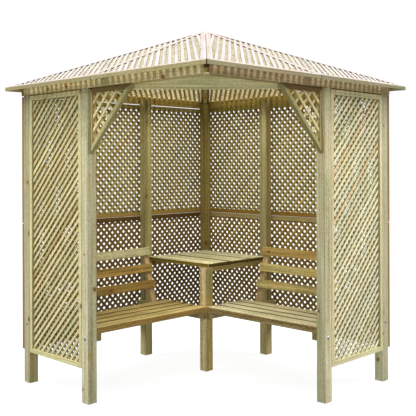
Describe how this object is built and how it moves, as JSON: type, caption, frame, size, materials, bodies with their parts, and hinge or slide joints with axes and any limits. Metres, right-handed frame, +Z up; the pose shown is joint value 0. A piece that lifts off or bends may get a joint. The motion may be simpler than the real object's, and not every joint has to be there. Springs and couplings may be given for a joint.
{
  "type": "arbour seat",
  "caption": "Corner arbour of softwood trellis with slatted benches along its rear walls, a table in the back corner, an open front corner and a low pyramid roof of trellis.",
  "frame": {"origin": "on the ground, under the peak of the roof, at the bottom centre of the bounding box", "axes": "+Z up; the back corner is towards (-X, +Y) and the open front corner towards (+X, -Y); the left bench runs along Y and the right bench along X"},
  "size_m": [1.868, 1.868, 2.3007],
  "materials": {
    "post_wood": "planed, pressure treated, unpainted",
    "plate_wood": "planed, pressure treated, unpainted",
    "roof_wood": "sawn, pressure treated, unpainted",
    "trellis_wood": "sawn, pressure treated, unpainted",
    "seat_wood": "planed, pressure treated, unpainted",
    "back_wood": "planed, pressure treated, unpainted",
    "table_wood": "planed, pressure treated, unpainted"
  },
  "bodies": {
    "root": {"post_left_outer": "post_wood", "post_left_front": "post_wood", "post_left_rear": "post_wood", "post_back_corner": "post_wood", "post_right_rear": "post_wood", "post_right_front": "post_wood", "post_right_outer": "post_wood", "post_table": "post_wood", "plate_front_left": "plate_wood", "plate_front_right": "plate_wood", "plate_rear_left": "plate_wood", "plate_rear_right": "plate_wood", "front_header": "plate_wood", "hip_rafter_front": "plate_wood", "hip_rafter_back": "plate_wood", "hip_rafter_left": "plate_wood", "hip_rafter_right": "plate_wood", "roof_trellis_front_left_side": "roof_wood", "roof_trellis_front_left_mid": "roof_wood", "roof_trellis_front_right_side": "roof_wood", "roof_trellis_front_right_mid": "roof_wood", "roof_trellis_rear_left_mid": "roof_wood", "roof_trellis_rear_left_side": "roof_wood", "roof_trellis_rear_right_side": "roof_wood", "roof_trellis_rear_right_mid": "roof_wood", "trellis_end_left": "trellis_wood", "trellis_end_right": "trellis_wood", "trellis_rear_left_lower": "trellis_wood", "trellis_rear_right_lower": "trellis_wood", "trellis_rear_left_upper": "trellis_wood", "trellis_rear_right_upper": "trellis_wood", "knee_brace_left": "trellis_wood", "knee_brace_right": "trellis_wood", "left_bearer_outer": "seat_wood", "right_bearer_outer": "seat_wood", "left_bearer_inner": "seat_wood", "right_bearer_inner": "seat_wood", "left_seat_slat_1": "seat_wood", "right_seat_slat_1": "seat_wood", "left_seat_slat_2": "seat_wood", "right_seat_slat_2": "seat_wood", "left_seat_slat_3": "seat_wood", "right_seat_slat_3": "seat_wood", "left_seat_slat_4": "seat_wood", "right_seat_slat_4": "seat_wood", "left_back_slat_1": "back_wood", "right_back_slat_1": "back_wood", "left_back_slat_2": "back_wood", "right_back_slat_2": "back_wood", "left_back_slat_3": "back_wood", "right_back_slat_3": "back_wood", "left_back_support_outer": "back_wood", "right_back_support_outer": "back_wood", "left_back_support_inner": "back_wood", "right_back_support_inner": "back_wood", "table_board_front": "table_wood", "table_board_middle": "table_wood", "table_board_back": "table_wood", "table_cleat_front": "table_wood", "table_cleat_rear": "table_wood"}
  },
  "joints": []
}
